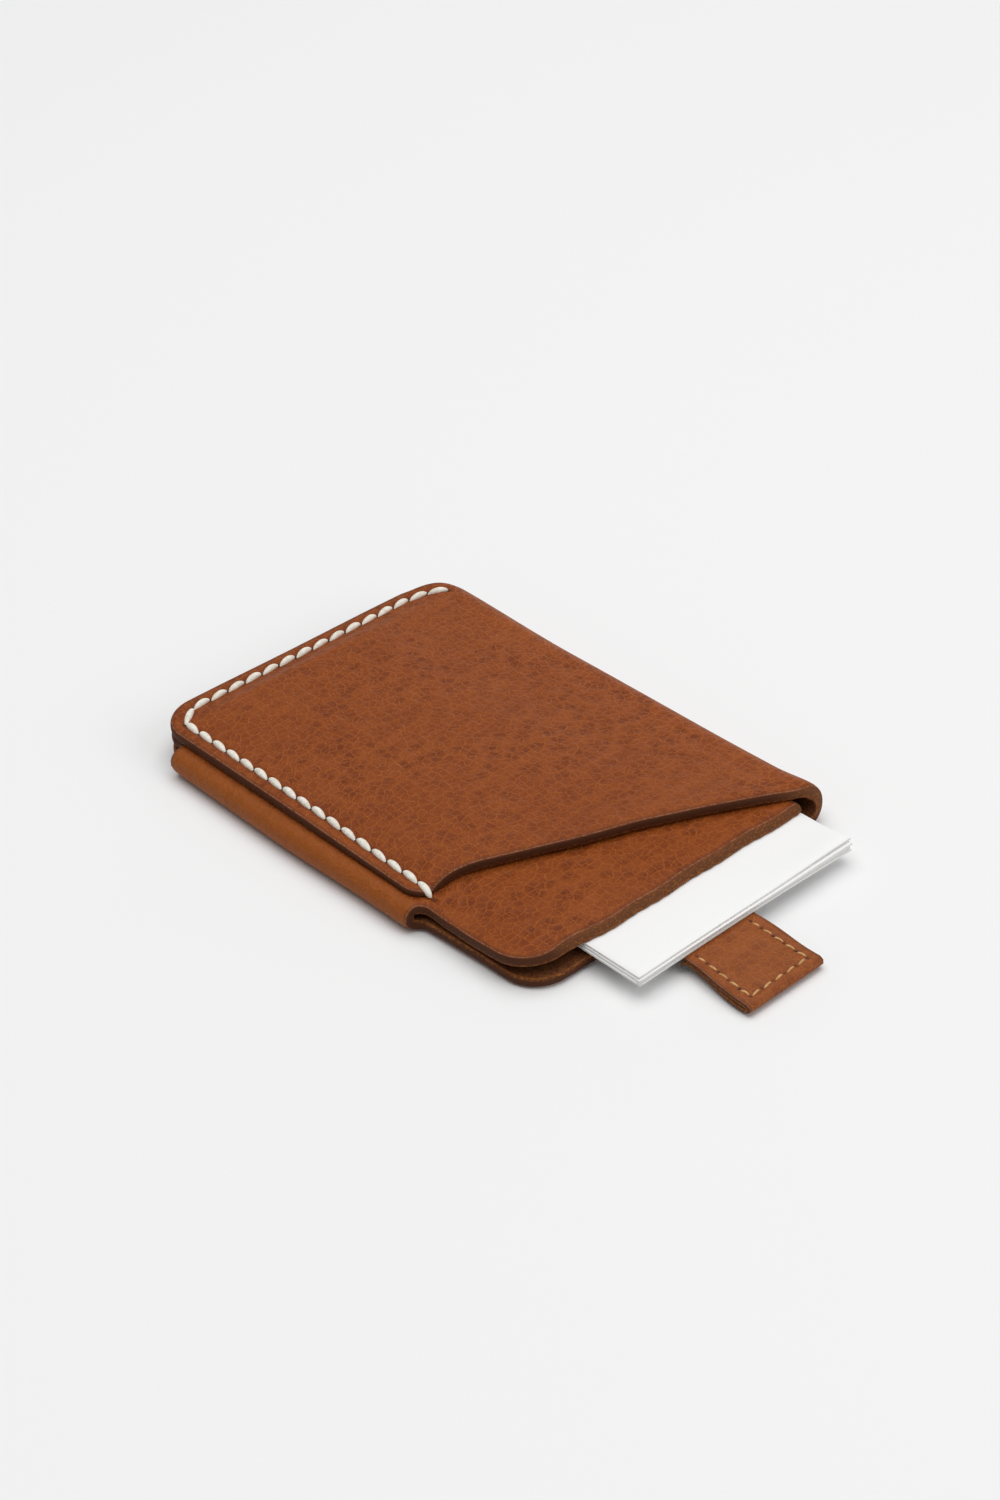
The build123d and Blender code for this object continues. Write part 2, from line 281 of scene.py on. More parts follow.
LEATHER = back_high[2]
HALF_T = LEATHER / 2
LEFT_R = left_high[2] / 2
RIGHT_R = right_high[2] / 2
LEFT_X = left_low[0] + LEFT_R
RIGHT_X = right_low[0]
CLOSED_Y = back_high[1]
CARD_TOP = top_card_high[2]
STRAP_MID = (run_low[0] + run_high[0]) / 2
RIGHT_ARC = math.pi * (RIGHT_R - HALF_T)
LEFT_ARC = math.pi * (LEFT_R - HALF_T)
U_FRONT_END = RIGHT_X
U_BACK = U_FRONT_END + RIGHT_ARC
U_LEFT = U_BACK + RIGHT_X - LEFT_X
U_MIDDLE = U_LEFT + LEFT_ARC
print("leather", round(LEATHER, 2), "fold radii", round(LEFT_R, 2), round(RIGHT_R, 2))


# %% Height of each layer
def smooth(start, end, x):
    """Smooth ramp from 0 at start to 1 at end; start may be the larger."""
    t = np.clip((x - start) / (end - start), 0, 1)
    return t * t * (3 - 2 * t)


DROOP, DROOP_HALF_WIDTH = 0.42, 32.4
PRESSED_Z, PRESSED_FROM_Y, PRESSED_TO_Y = 3.15, 41.0, 46.0
LEFT_LAP_Z, LAP_DIP, LAP_RISE = 3.2, 0.3, 1.0
CARD_CLEARANCE = 0.1
STRAP_LIFT = 0.66
AGAPE, AGAPE_WIDTH = 0.35, 9
PANEL_GAP = 0.06
BOW, BOW_FLARE = 1.2, 0.8


def droop(x):
    """How far the cards and the leather over them sag away from the strap that lifts them."""
    return DROOP * ((x - STRAP_MID) / DROOP_HALF_WIDTH) ** 2


def pressed(y):
    """How far the layers are pressed together by the closed-end seam, 0 to 1."""
    return smooth(PRESSED_FROM_Y, PRESSED_TO_Y, y)


def middle_under(x, y):
    """Height of the middle panel's underside."""
    lap = LEFT_LAP_Z - LAP_DIP * smooth(-22, -30, y) + LAP_RISE * smooth(-33, -49, y)
    cards = CARD_TOP + CARD_CLEARANCE - droop(x)
    height = lap + (cards - lap) * smooth(-32.5, -22.0, x)
    over_strap = smooth(-24, -12.5, x) * (1 - smooth(6.8, 19, x)) * smooth(-30, -17.5, y)
    height = height + STRAP_LIFT * over_strap
    return height + (PRESSED_Z - height) * pressed(y)


SLIT_X = np.array([-31.5, -27.2, -24.7, -21.1, -14.4, -8.0, 5.4, 15.0, 24.6, 29.2, 32.35])
SLIT_Y = np.array([-22.9, -23.3, -24.1, -25.8, -28.7, -31.6, -36.9, -41.3, -45.6, -47.9, -49.4])


def front_under(x, y):
    """Height of the front panel's underside: on the middle panel, then down to the right fold."""
    inside = y - np.interp(x, SLIT_X, SLIT_Y)
    agape = AGAPE * (1 - smooth(0, AGAPE_WIDTH, inside)) * smooth(-29, -20, x) * (1 - smooth(22, 31, x))
    resting = middle_under(x, y) + LEATHER + PANEL_GAP + agape
    fold = 2 * RIGHT_R - LEATHER
    return resting + (fold - resting) * smooth(26.5, RIGHT_X, x)


def fold_bow(y):
    """The long fold bows inwards along its length and flares again at the mouth."""
    along = (CLOSED_Y - y) / (CLOSED_Y - back_low[1])
    return BOW * smooth(0.02, 0.4, along) * (1 - BOW_FLARE * smooth(0.9, 1.0, along))


# %% Fold a flat point
CORNER_LIFT = 0.35
LEFT_LEAN = 0.45


def fold_up(u, y):
    """Places of the leather's middle surface for flat points (u, y), in millimetres."""
    on_front = u < U_FRONT_END
    x = np.where(on_front, u, RIGHT_X)
    z = np.where(on_front, front_under(u, y) + HALF_T, 0)

    angle = np.clip((u - U_FRONT_END) / RIGHT_ARC, 0, 1) * math.pi
    top = front_under(np.full_like(u, RIGHT_X), y) + HALF_T
    radius = (top - HALF_T) / 2
    on_right = (u >= U_FRONT_END) & (u < U_BACK)
    x = np.where(on_right, RIGHT_X + radius * np.sin(angle), x)
    z = np.where(on_right, HALF_T + radius + radius * np.cos(angle), z)

    back_x = RIGHT_X - (u - U_BACK)
    on_back = (u >= U_BACK) & (u < U_LEFT)
    lift = CORNER_LIFT * smooth(-24, -33.3, back_x) * smooth(-20, -30, y) * (1 - smooth(-36, -46, y))
    x = np.where(on_back, back_x, x)
    z = np.where(on_back, HALF_T + lift, z)

    turn = np.clip((u - U_LEFT) / LEFT_ARC, 0, 1) * math.pi
    lap_top = middle_under(np.full_like(u, LEFT_X), y) + HALF_T
    small = (lap_top - HALF_T) / 2
    on_left = (u >= U_LEFT) & (u < U_MIDDLE)
    x = np.where(on_left, LEFT_X - small * np.sin(turn), x)
    z = np.where(on_left, HALF_T + small - small * np.cos(turn), z)

    middle_x = LEFT_X + (u - U_MIDDLE)
    on_middle = u >= U_MIDDLE
    x = np.where(on_middle, middle_x, x)
    z = np.where(on_middle, middle_under(middle_x, y) + HALF_T, z)
    bow = fold_bow(y) * smooth(12, RIGHT_X, x) * np.where(on_middle, 0, 1)
    lean = LEFT_LEAN * smooth(10, -18, y) * smooth(-30, LEFT_X - 1, x)
    return np.stack([x - bow + lean, y, z], axis=-1)


def outward(u, y, step=0.05):
    """Unit normals on the grain side."""
    along_u = fold_up(u + step, y) - fold_up(u - step, y)
    along_y = fold_up(u, y + step) - fold_up(u, y - step)
    normal = np.cross(along_u, along_y)
    return normal / np.linalg.norm(normal, axis=-1, keepdims=True)


print("front height at centre", round(float(front_under(np.array([0.0]), np.array([0.0]))[0] + LEATHER), 2))

# %% [markdown]
# ## The outline of the blank
# The outline is walked once round with the leather on its left: along the diagonal front edge, round the
# right fold's mouth, along the back panel, into the punched slot that frees the left fold, out along the
# middle panel, and home over the closed end. Only corners are named; curves are arcs or formulas.

# %% Walk round the blank
OUTLINE_STEP = 0.6
CLOSED_LEFT_R, CLOSED_RIGHT_R, MOUTH_R, BACK_MOUTH_R = 8.0, 12.0, 7.0, 7.5
NEAR_R, SLOT_R, TUCK_R = 4.0, 2.1, 1.5
FRONT_LEFT_X = front_low[0]
LEFT_EDGE_X = back_low[0]
SLOT_Y, FOLD_FAR_Y = left_low[1], left_high[1]
BACK_MOUTH_Y, MIDDLE_MOUTH_Y = back_low[1], middle_low[1]
MIDDLE_RIGHT_X = middle_high[0]
RIGHT_OUT_X = right_high[0]


def evenly(start, end, count):
    """Evenly spaced places from start to end."""
    return [tuple(np.array(start) + (np.array(end) - np.array(start)) * i / count) for i in range(count + 1)]


def line(start, end):
    """Points from start up to, not including, end."""
    count = max(1, round(math.dist(start, end) / OUTLINE_STEP))
    return evenly(start, end, count)[:-1]


def arc(centre, radius, first, last):
    """Points on an arc between two angles in degrees, without its last point."""
    count = max(3, round(abs(math.radians(last - first)) * radius / OUTLINE_STEP))
    angles = np.radians(first + (last - first) * np.arange(count) / count)
    return [(centre[0] + radius * math.cos(a), centre[1] + radius * math.sin(a)) for a in angles]


def run_of(u_first, u_last, y_of):
    """Points along the blank from one u to another, at a height given by a function of u."""
    count = max(2, round(abs(u_last - u_first) / OUTLINE_STEP))
    return [(u, float(y_of(u))) for u in u_first + (u_last - u_first) * np.arange(count) / count]


def x_of(u):
    """Plan x of a flat u, on the folds as well."""
    if u < U_FRONT_END:
        return u
    if u < U_BACK:
        return RIGHT_X + (RIGHT_R - HALF_T) * math.sin((u - U_FRONT_END) / RIGHT_ARC * math.pi)
    if u < U_LEFT:
        return RIGHT_X - (u - U_BACK)
    if u < U_MIDDLE:
        return LEFT_X - (LEFT_R - HALF_T) * math.sin((u - U_LEFT) / LEFT_ARC * math.pi)
    return LEFT_X + u - U_MIDDLE


def closed_edge(u):
    """The closed end's outline: straight, with a round corner at each side."""
    x = x_of(u)
    right_x = RIGHT_OUT_X - CLOSED_RIGHT_R
    left_x = FRONT_LEFT_X + CLOSED_LEFT_R
    if x > right_x:
        return CLOSED_Y - CLOSED_RIGHT_R + math.sqrt(max(CLOSED_RIGHT_R**2 - (x - right_x) ** 2, 0))
    if x < left_x:
        return CLOSED_Y - CLOSED_LEFT_R + math.sqrt(max(CLOSED_LEFT_R**2 - (left_x - x) ** 2, 0))
    return CLOSED_Y


SLIT_WANDER, MOUTH_WANDER = 0.6, 1.3
MOUTH_REACH, MOUTH_CORNER_REACH = 0.95, 0.15
BACK_MOUTH_IN = 0.4


def hand_cut(x):
    """A knife's small wander along an edge."""
    return 0.1 * math.sin(x / 2.1) + 0.05 * math.sin(x * 2.3) * math.sin(x / 4.0)


def slit(u):
    """The diagonal front edge: straight across the seam, then one soft bend onto the diagonal."""
    coarse = np.interp(u + np.linspace(-2.0, 2.0, 9), SLIT_X, SLIT_Y)
    return coarse.mean() + SLIT_WANDER * hand_cut(u)


def fold_mouth(u):
    """From the end of the diagonal round the right fold to the back panel's mouth edge."""
    return slit(U_FRONT_END) + (BACK_MOUTH_Y - slit(U_FRONT_END)) * smooth(U_FRONT_END, U_BACK, u)


def middle_mouth(u):
    """The middle panel's hand-cut mouth edge, slightly wavy."""
    x = x_of(u)
    reach = MOUTH_REACH * smooth(-24, -12, x) + MOUTH_CORNER_REACH * smooth(12, 30, x)
    return MIDDLE_MOUTH_Y - reach + MOUTH_WANDER * hand_cut(x)


CORNER_STEP_IN, SLOT_STEP_OUT = 0.5, 0.6
back_u = U_BACK + RIGHT_X - LEFT_EDGE_X
middle_u = U_MIDDLE + LEFT_EDGE_X - LEFT_X
middle_end_u = U_MIDDLE + MIDDLE_RIGHT_X - LEFT_X
closed_left_y = closed_edge(middle_u)
near_x = FRONT_LEFT_X + NEAR_R
front_corner = (FRONT_LEFT_X + CLOSED_LEFT_R, CLOSED_Y - CLOSED_LEFT_R)
near_y = slit(near_x)

outline = run_of(near_x, U_FRONT_END, slit)
outline += run_of(U_FRONT_END, U_BACK, fold_mouth)
corner_u, slot_u = back_u - CORNER_STEP_IN, back_u + SLOT_STEP_OUT
cornered = (corner_u - BACK_MOUTH_R, BACK_MOUTH_Y + BACK_MOUTH_IN + BACK_MOUTH_R)
outline += line((U_BACK, BACK_MOUTH_Y), (cornered[0], BACK_MOUTH_Y + BACK_MOUTH_IN))
outline += arc(cornered, BACK_MOUTH_R, -90, 0)
outline += line((corner_u, cornered[1]), (slot_u, SLOT_Y - SLOT_R))
outline += arc((slot_u + SLOT_R, SLOT_Y - SLOT_R), SLOT_R, 180, 90)
outline += line((slot_u + SLOT_R, SLOT_Y), (middle_u - SLOT_R, SLOT_Y))
outline += arc((middle_u - SLOT_R, SLOT_Y - SLOT_R), SLOT_R, 90, 0)
outline += line((middle_u, SLOT_Y - SLOT_R), (middle_u, MIDDLE_MOUTH_Y + MOUTH_R))
outline += arc((middle_u + MOUTH_R, MIDDLE_MOUTH_Y + MOUTH_R), MOUTH_R, 180, 270)
outline += run_of(middle_u + MOUTH_R, middle_end_u, middle_mouth)
outline += line((middle_end_u, middle_mouth(middle_end_u)), (middle_end_u, closed_edge(middle_end_u)))
outline += run_of(middle_end_u, middle_u, closed_edge)
outline += line((middle_u, closed_left_y), (middle_u, FOLD_FAR_Y + TUCK_R))
outline += arc((middle_u - TUCK_R, FOLD_FAR_Y + TUCK_R), TUCK_R, 0, -90)
outline += line((middle_u - TUCK_R, FOLD_FAR_Y), (back_u + TUCK_R, FOLD_FAR_Y))
outline += arc((back_u + TUCK_R, FOLD_FAR_Y + TUCK_R), TUCK_R, -90, -180)
outline += line((back_u, FOLD_FAR_Y + TUCK_R), (back_u, closed_left_y))
outline += run_of(back_u, front_corner[0], closed_edge)
outline += arc(front_corner, CLOSED_LEFT_R, 90, 180)
outline += line((FRONT_LEFT_X, front_corner[1]), (FRONT_LEFT_X, near_y + NEAR_R))
outline += arc((near_x, near_y + NEAR_R), NEAR_R, 180, 270)
outline = np.array(outline)
print("outline points", len(outline), "blank", np.round(outline.max(0) - outline.min(0), 1), "mm")

# %% [markdown]
# ## Seam line and its dents
# The awl's holes are a stitch apart and 3 mm in from the edge. Pulling the thread tight sinks the leather
# along the seam, and more at each hole; on the underside the thread lies in a cut groove, so the holder still
# rests flat. The same holes later place the stitches.

# %% Holes along the seam
STITCH = 4.0
LEFT_STITCHES, CLOSED_STITCHES = 17, 15
SEAM_IN = 2.9
SEAM_X, SEAM_Y = FRONT_LEFT_X + 3.0, CLOSED_Y - SEAM_IN
CORNER_STEP_X, CORNER_STEP_Y = 4.04, 3.2


def closed_row_hole(distance):
    """A hole on the closed row, which bends round the right corner, by its distance along the row."""
    bend_x = RIGHT_OUT_X - CLOSED_RIGHT_R
    bend_r = CLOSED_RIGHT_R - SEAM_IN
    if distance <= bend_x - SEAM_X:
        return (SEAM_X + distance, SEAM_Y)
    angle = (distance - bend_x + SEAM_X) / bend_r
    return (bend_x + bend_r * math.sin(angle), SEAM_Y - bend_r * (1 - math.cos(angle)))


holes = [(SEAM_X, SEAM_Y - CORNER_STEP_Y - STITCH * i) for i in range(LEFT_STITCHES, -1, -1)]
holes += [closed_row_hole(CORNER_STEP_X + STITCH * i) for i in range(CLOSED_STITCHES + 1)]
holes = np.array(holes)
print("holes", len(holes))


def distance_to_path(points, path, closed=False):
    """Shortest distance from each point to a polyline."""
    ends = np.roll(path, -1, axis=0) if closed else path[1:]
    best = np.full(len(points), np.inf)
    for start, end in zip(path, ends):
        span = end - start
        share = np.clip(((points - start) @ span) / max(span @ span, 1e-9), 0, 1)
        best = np.minimum(best, np.hypot(*(points - start - share[:, None] * span).T))
    return best


back_holes = np.array([(U_BACK + RIGHT_X - x, y) for x, y in holes])
last_middle_hole = np.array((U_MIDDLE + holes[0, 0] - LEFT_X, holes[0, 1]))

# %% Fill the outline with points
FINE, FOLD_FINE, COARSE, SEAM_FINE = 0.75, 0.6, 1.6, 0.36
FOLD_MARGIN, HIDDEN_Y = 4, -15.0
SEAM_BAND, SEAM_FILL = 1.9, 1.8
RIM_GAP = 0.3
EDGE_ROUND = 0.45


def grid(u_low, u_high, y_low, y_high, step):
    """Evenly spaced flat points in a rectangle."""
    us = np.arange(u_low + step / 2, u_high, step)
    ys = np.arange(y_low + step / 2, y_high, step)
    return np.stack(np.meshgrid(us, ys), axis=-1).reshape(-1, 2)


def inside(points, path):
    """True where a point lies inside the closed outline."""
    found = np.zeros(len(points), bool)
    for (x0, y0), (x1, y1) in zip(path, np.roll(path, -1, axis=0)):
        crosses = (y0 > points[:, 1]) != (y1 > points[:, 1])
        at = x0 + (points[:, 1] - y0) * (x1 - x0) / (y1 - y0 if y1 != y0 else 1e-9)
        found ^= crosses & (points[:, 0] < at)
    return found


def inset(path, amount):
    """The closed path moved towards its inside."""
    along = np.roll(path, -1, axis=0) - np.roll(path, 1, axis=0)
    along /= np.linalg.norm(along, axis=1, keepdims=True)
    return path + np.stack([-along[:, 1], along[:, 0]], axis=1) * amount


rim = inset(outline, EDGE_ROUND)
low_y, high_y = BACK_MOUTH_Y, CLOSED_Y
fills = [
    grid(FRONT_LEFT_X, U_FRONT_END, low_y, high_y, FINE),
    grid(U_FRONT_END, U_BACK, low_y, high_y, FOLD_FINE),
    grid(U_BACK, U_LEFT - FOLD_MARGIN, low_y, high_y, COARSE),
    grid(U_LEFT - FOLD_MARGIN, U_MIDDLE + FOLD_MARGIN, low_y, high_y, FOLD_FINE),
    grid(U_MIDDLE + FOLD_MARGIN, middle_end_u, low_y, HIDDEN_Y, FINE),
    grid(U_MIDDLE + FOLD_MARGIN, middle_end_u, HIDDEN_Y, high_y, COARSE),
]
base_points = np.concatenate(fills)
seam_paths = [holes, back_holes]
near_seam = np.min([distance_to_path(base_points, path) for path in seam_paths], axis=0) < SEAM_BAND
seam_boxes = []
for path in seam_paths:
    low, high = path.min(0) - 2, path.max(0) + 2
    dense = grid(low[0], high[0], low[1], high[1], SEAM_FINE)
    seam_boxes.append(dense[distance_to_path(dense, path) < SEAM_FILL])
cloud = np.concatenate([base_points[~near_seam], *seam_boxes])
cloud = cloud[inside(cloud, rim)]
cloud = cloud[distance_to_path(cloud, rim, closed=True) > RIM_GAP]
print("loose points", len(cloud))

# %% Triangulate a sheet
def filled(rim_points, inner):
    """Triangles over a rim and loose inner points; the rim's points come first."""
    cloud_points = [Vector(p) for p in np.concatenate([rim_points, inner])]
    verts, _, made, *_ = delaunay_2d_cdt(cloud_points, [], [list(range(len(rim_points)))], 1, 1e-5)
    points = np.array([tuple(v) for v in verts])
    tris = np.array([f for f in made if len(f) == 3])
    first, second, third = points[tris].transpose(1, 0, 2)
    turned = np.cross(second - first, third - first) < 0
    tris[turned] = tris[turned][:, ::-1]
    return points, tris


flat, triangles = filled(rim, cloud)
print("flat points", len(flat), "triangles", len(triangles))


# %% Surface dents and edge fall-off
SKIVE = 0.75
GROOVE_DEPTH, GROOVE_NEAR, GROOVE_FAR = 0.95, 0.55, 1.15


def skived(x, y):
    """How much thinner the front panel gets along its left edge towards the slit."""
    return SKIVE * smooth(12, -18, y) * smooth(-26.5, -30.5, x)


def dent(depth, distance, width):
    """A soft hollow: its depth at no distance, and nothing well past its width."""
    return depth * np.exp(-((distance / width) ** 2))


def nearest(points, places):
    """Distance from each point to the nearest of some places."""
    return np.min([np.hypot(*(points - place).T) for place in places], axis=0)


def dents(points, edge_distance):
    """How far the grain surface sinks at each flat point, in millimetres."""
    on_top = points[:, 0] < U_BACK
    groove = GROOVE_DEPTH * (1 - smooth(GROOVE_NEAR, GROOVE_FAR, distance_to_path(points, back_holes)))
    pulled = dent(0.34, distance_to_path(points, holes), 0.95) + dent(0.55, nearest(points, holes), 0.42)
    sink = np.where(on_top, pulled, 0)
    sink = sink + np.where(on_top, 0, groove)
    sink = sink + np.where(on_top, skived(*points.T), 0)
    sink = sink + dent(0.4, nearest(points, [(SEAM_X, slit(SEAM_X) + 0.2)]), 1.0)
    sink = sink + dent(0.9, nearest(points, [last_middle_hole]), 0.5)
    return sink + 0.22 * np.exp(-edge_distance / 0.7)


def slow_waves(points):
    """The slight unevenness of thick hide."""
    u, y = points.T
    return 0.05 * np.sin(u / 6.1 + 1.3 * np.sin(y / 11.0)) + 0.04 * np.sin(y / 7.3 + u / 17.0)


# %% Thicken, round the edges, and fold
EDGE_RINGS = 7


def thick_sheet(points, tris, rim_count, place, normal_of, thickness, bulge, sink, skew=0.0):
    """A closed sheet: grain side, flesh side, and a round edge between them; skew is how far the flesh
    side stands out past the grain side along each rim point."""
    u, y = points.T
    centre = place(u, y)
    normal = normal_of(u, y)
    count = len(points)
    half = np.broadcast_to(thickness / 2, count)
    grain = centre + normal * (half - sink)[:, None]
    flesh = centre - normal * half[:, None]
    rim_flat = points[:rim_count]
    along = np.roll(rim_flat, -1, axis=0) - np.roll(rim_flat, 1, axis=0)
    along /= np.linalg.norm(along, axis=1, keepdims=True)
    out = np.stack([along[:, 1], -along[:, 0]], axis=1) * 0.05
    outer = place(*(rim_flat + out).T) - place(*(rim_flat - out).T)
    outer /= np.linalg.norm(outer, axis=1, keepdims=True)
    leaning = outer * np.broadcast_to(skew, rim_count)[:, None]
    flesh[:rim_count] += leaning
    places = [grain, flesh]
    flats = [points, points]
    for ring in range(1, EDGE_RINGS):
        angle = math.pi * ring / EDGE_RINGS
        swell = bulge * math.sin(angle) ** 0.7
        drop = sink[:rim_count] * (1 + math.cos(angle)) / 2
        lift = normal[:rim_count] * (half[:rim_count] * math.cos(angle) - drop)[:, None]
        lean = leaning * (1 - math.cos(angle)) / 2
        places.append(centre[:rim_count] + lift + outer * swell + lean)
        flats.append(rim_flat + out * 20 * swell)
    quads = []
    index = np.arange(rim_count)
    after = np.roll(index, -1)
    rows = [index, *[2 * count + rim_count * r + index for r in range(EDGE_RINGS - 1)], count + index]
    for upper, lower in zip(rows, rows[1:]):
        quads += np.stack([upper, lower, lower[after], upper[after]], axis=1).tolist()
    faces = tris.tolist() + (tris[:, ::-1] + count).tolist() + quads
    steps = [np.full(rim_count, ring / EDGE_RINGS) for ring in range(1, EDGE_RINGS)]
    side = np.concatenate([np.zeros(count), np.ones(count), *steps])
    return np.concatenate(places), faces, np.concatenate(flats), side


def make_mesh(name, places_mm, faces, uv_mm, floats):
    """A smooth mesh object at the origin, with a flat UV map and point attributes."""
    mesh = bpy.data.meshes.new(name)
    mesh.from_pydata((np.asarray(places_mm) * MM).tolist(), [], faces)
    mesh.shade_smooth()
    layer = mesh.uv_layers.new(name="flat")
    corner_vertex = np.empty(len(mesh.loops), np.int32)
    mesh.loops.foreach_get("vertex_index", corner_vertex)
    layer.data.foreach_set("uv", (np.asarray(uv_mm)[corner_vertex] * UV_PER_MM).astype(np.float32).ravel())
    for label, values in floats.items():
        attribute = mesh.attributes.new(label, "FLOAT", "POINT")
        attribute.data.foreach_set("value", np.asarray(values, np.float32))
    mesh.validate()
    made = bpy.data.objects.new(name, mesh)
    scene.collection.objects.link(made)
    return made


FOLD_SWELL = 0.6
CUT_LEAN = 0.95

rim_count = len(rim)
edge_distance = distance_to_path(flat, rim, closed=True)
flat_u, flat_y = flat.T
at_mouth = smooth(BACK_MOUTH_Y + 6, BACK_MOUTH_Y + 1.5, flat_y)
on_fold = smooth(U_FRONT_END - 0.8, U_FRONT_END + 1.5, flat_u) * smooth(U_BACK, U_BACK - 3, flat_u)
swollen = FOLD_SWELL * at_mouth * on_fold
sink = dents(flat, edge_distance) - slow_waves(flat) + swollen
cut_lean = CUT_LEAN * smooth(-45.5, -47.5, flat_y) * smooth(U_MIDDLE + 3, U_MIDDLE + 12, flat_u)
cut_lean = (cut_lean + swollen)[:rim_count]
places, faces, flats, side = thick_sheet(
    flat, triangles, rim_count, fold_up, outward, LEATHER + 2 * swollen, EDGE_ROUND, sink, cut_lean
)
near_edge = np.concatenate([edge_distance, edge_distance] + [np.zeros(rim_count)] * (EDGE_RINGS - 1))
seam_near = np.minimum(distance_to_path(flats, holes), distance_to_path(flats, back_holes))
hole_near = nearest(flats, [*holes, *back_holes, last_middle_hole])
facts = {"side": side, "edge_mm": near_edge, "seam_mm": seam_near, "hole_mm": hole_near}
wrap = make_mesh("leather_wrap", places, faces, flats, facts)
print("wrap faces", len(wrap.data.polygons), "heights", np.round((places[:, 2].min(), places[:, 2].max()), 2))

# %% [markdown]
# ## Stitches
# A saddle stitch shows as a row of short fat ovals, each lying from hole to hole at a slight slant, with its
# ends diving into the leather. One Geometry Nodes tree lays one bowed oval on each point. Each point carries
# its own turn and stretch, so the same tree sews the white seam, the tan tab and the hidden anchor.

# %% A tree that lays stitches
STITCH_SEED = 7
STITCH_RINGS, THREAD_SIDES = 14, 12
BLUNT, THINNEST = 0.42, 0.28


def stitch_tree():
    """Geometry Nodes: one bowed oval of thread on each point, realised."""
    tree = bpy.data.node_groups.new("lay_stitches", "GeometryNodeTree")
    kinds = {"Geometry": "Geometry", "Length": "Float", "Thickness": "Float", "Bow": "Float"}
    kinds["Thread"] = "Material"
    for label, kind in kinds.items():
        tree.interface.new_socket(label, in_out="INPUT", socket_type="NodeSocket" + kind)
    tree.interface.new_socket("Geometry", in_out="OUTPUT", socket_type="NodeSocketGeometry")

    def add(kind, out=0, settings=None, **sockets):
        return add_node(tree, kind, settings, **sockets).outputs[out]

    def times(first, second):
        return Value(tree, add("ShaderNodeMath", 0, {"operation": "MULTIPLY"}, i0=first, i1=second))

    def carried(label, data_type):
        return add("GeometryNodeInputNamedAttribute", 0, {"data_type": data_type}, Name=label)

    given = tree.nodes.new("NodeGroupInput").outputs
    half_length, dip = times(given["Length"], 0.5), times(given["Bow"], -1.0)
    start = add("ShaderNodeCombineXYZ", X=half_length * -1.0, Z=dip)
    middle = add("ShaderNodeCombineXYZ", Z=given["Bow"])
    end = add("ShaderNodeCombineXYZ", X=half_length, Z=dip)
    curve = {"Resolution": STITCH_RINGS, "Start": start, "Middle": middle, "End": end}
    thread_line = add("GeometryNodeCurveQuadraticBezier", **curve)
    swell = times(add("GeometryNodeSplineParameter", "Factor"), math.pi).math("SINE", 0.0)
    swell = swell.math("POWER", BLUNT).math("MAXIMUM", THINNEST)
    radius = swell * times(given["Thickness"], 0.5)
    ring = add("GeometryNodeCurvePrimitiveCircle", Resolution=THREAD_SIDES, Radius=1.0)
    tube = add("GeometryNodeCurveToMesh", Curve=thread_line, Profile_Curve=ring, Scale=radius, Fill_Caps=True)
    turn = add("FunctionNodeEulerToRotation", Euler=carried("turn", "FLOAT_VECTOR"))
    plump = {"i2": 0.95, "i3": 1.05, "Seed": STITCH_SEED}
    jitter = add("FunctionNodeRandomValue", 1, {"data_type": "FLOAT"}, **plump)
    size = add("ShaderNodeCombineXYZ", X=carried("stretch", "FLOAT"), Y=jitter, Z=jitter)
    placed = {"Points": given["Geometry"], "Instance": tube, "Rotation": turn, "Scale": size}
    real = add("GeometryNodeRealizeInstances", Geometry=add("GeometryNodeInstanceOnPoints", **placed))
    soft = add("GeometryNodeSetShadeSmooth", Geometry=real)
    done = add("GeometryNodeSetMaterial", Geometry=soft, Material=given["Thread"])
    feed(tree, tree.nodes.new("NodeGroupOutput").inputs[0], done)
    return tree


lay_stitches = stitch_tree()
print("stitch tree nodes", len(lay_stitches.nodes))


# %% Sew a list of stitches
def sewn(name, stitches, length, thickness, bow, thread):
    """A plain mesh of stitches; each stitch is (centre in mm, turn, stretch)."""
    carrier_mesh = bpy.data.meshes.new(name + "_holes")
    carrier_mesh.from_pydata([tuple(np.array(c) * MM) for c, _, _ in stitches], [], [])
    turns = carrier_mesh.attributes.new("turn", "FLOAT_VECTOR", "POINT")
    turns.data.foreach_set("vector", np.array([t for _, t, _ in stitches], np.float32).ravel())
    stretches = carrier_mesh.attributes.new("stretch", "FLOAT", "POINT")
    stretches.data.foreach_set("value", np.array([s for _, _, s in stitches], np.float32))
    carrier = bpy.data.objects.new(name + "_carrier", carrier_mesh)
    scene.collection.objects.link(carrier)
    modifier = carrier.modifiers.new("stitches", "NODES")
    modifier.node_group = lay_stitches
    values = {"Length": length * MM, "Thickness": thickness * MM, "Bow": bow * MM, "Thread": thread}
    for item in lay_stitches.interface.items_tree:
        if item.in_out == "INPUT" and item.name in values:
            modifier[item.identifier] = values[item.name]
    ready = carrier.evaluated_get(bpy.context.evaluated_depsgraph_get())
    mesh = bpy.data.meshes.new_from_object(ready)
    bpy.data.objects.remove(carrier)
    mesh.name = name
    made = bpy.data.objects.new(name, mesh)
    scene.collection.objects.link(made)
    print(name, "stitches", len(stitches), "faces", len(mesh.polygons))
    return made


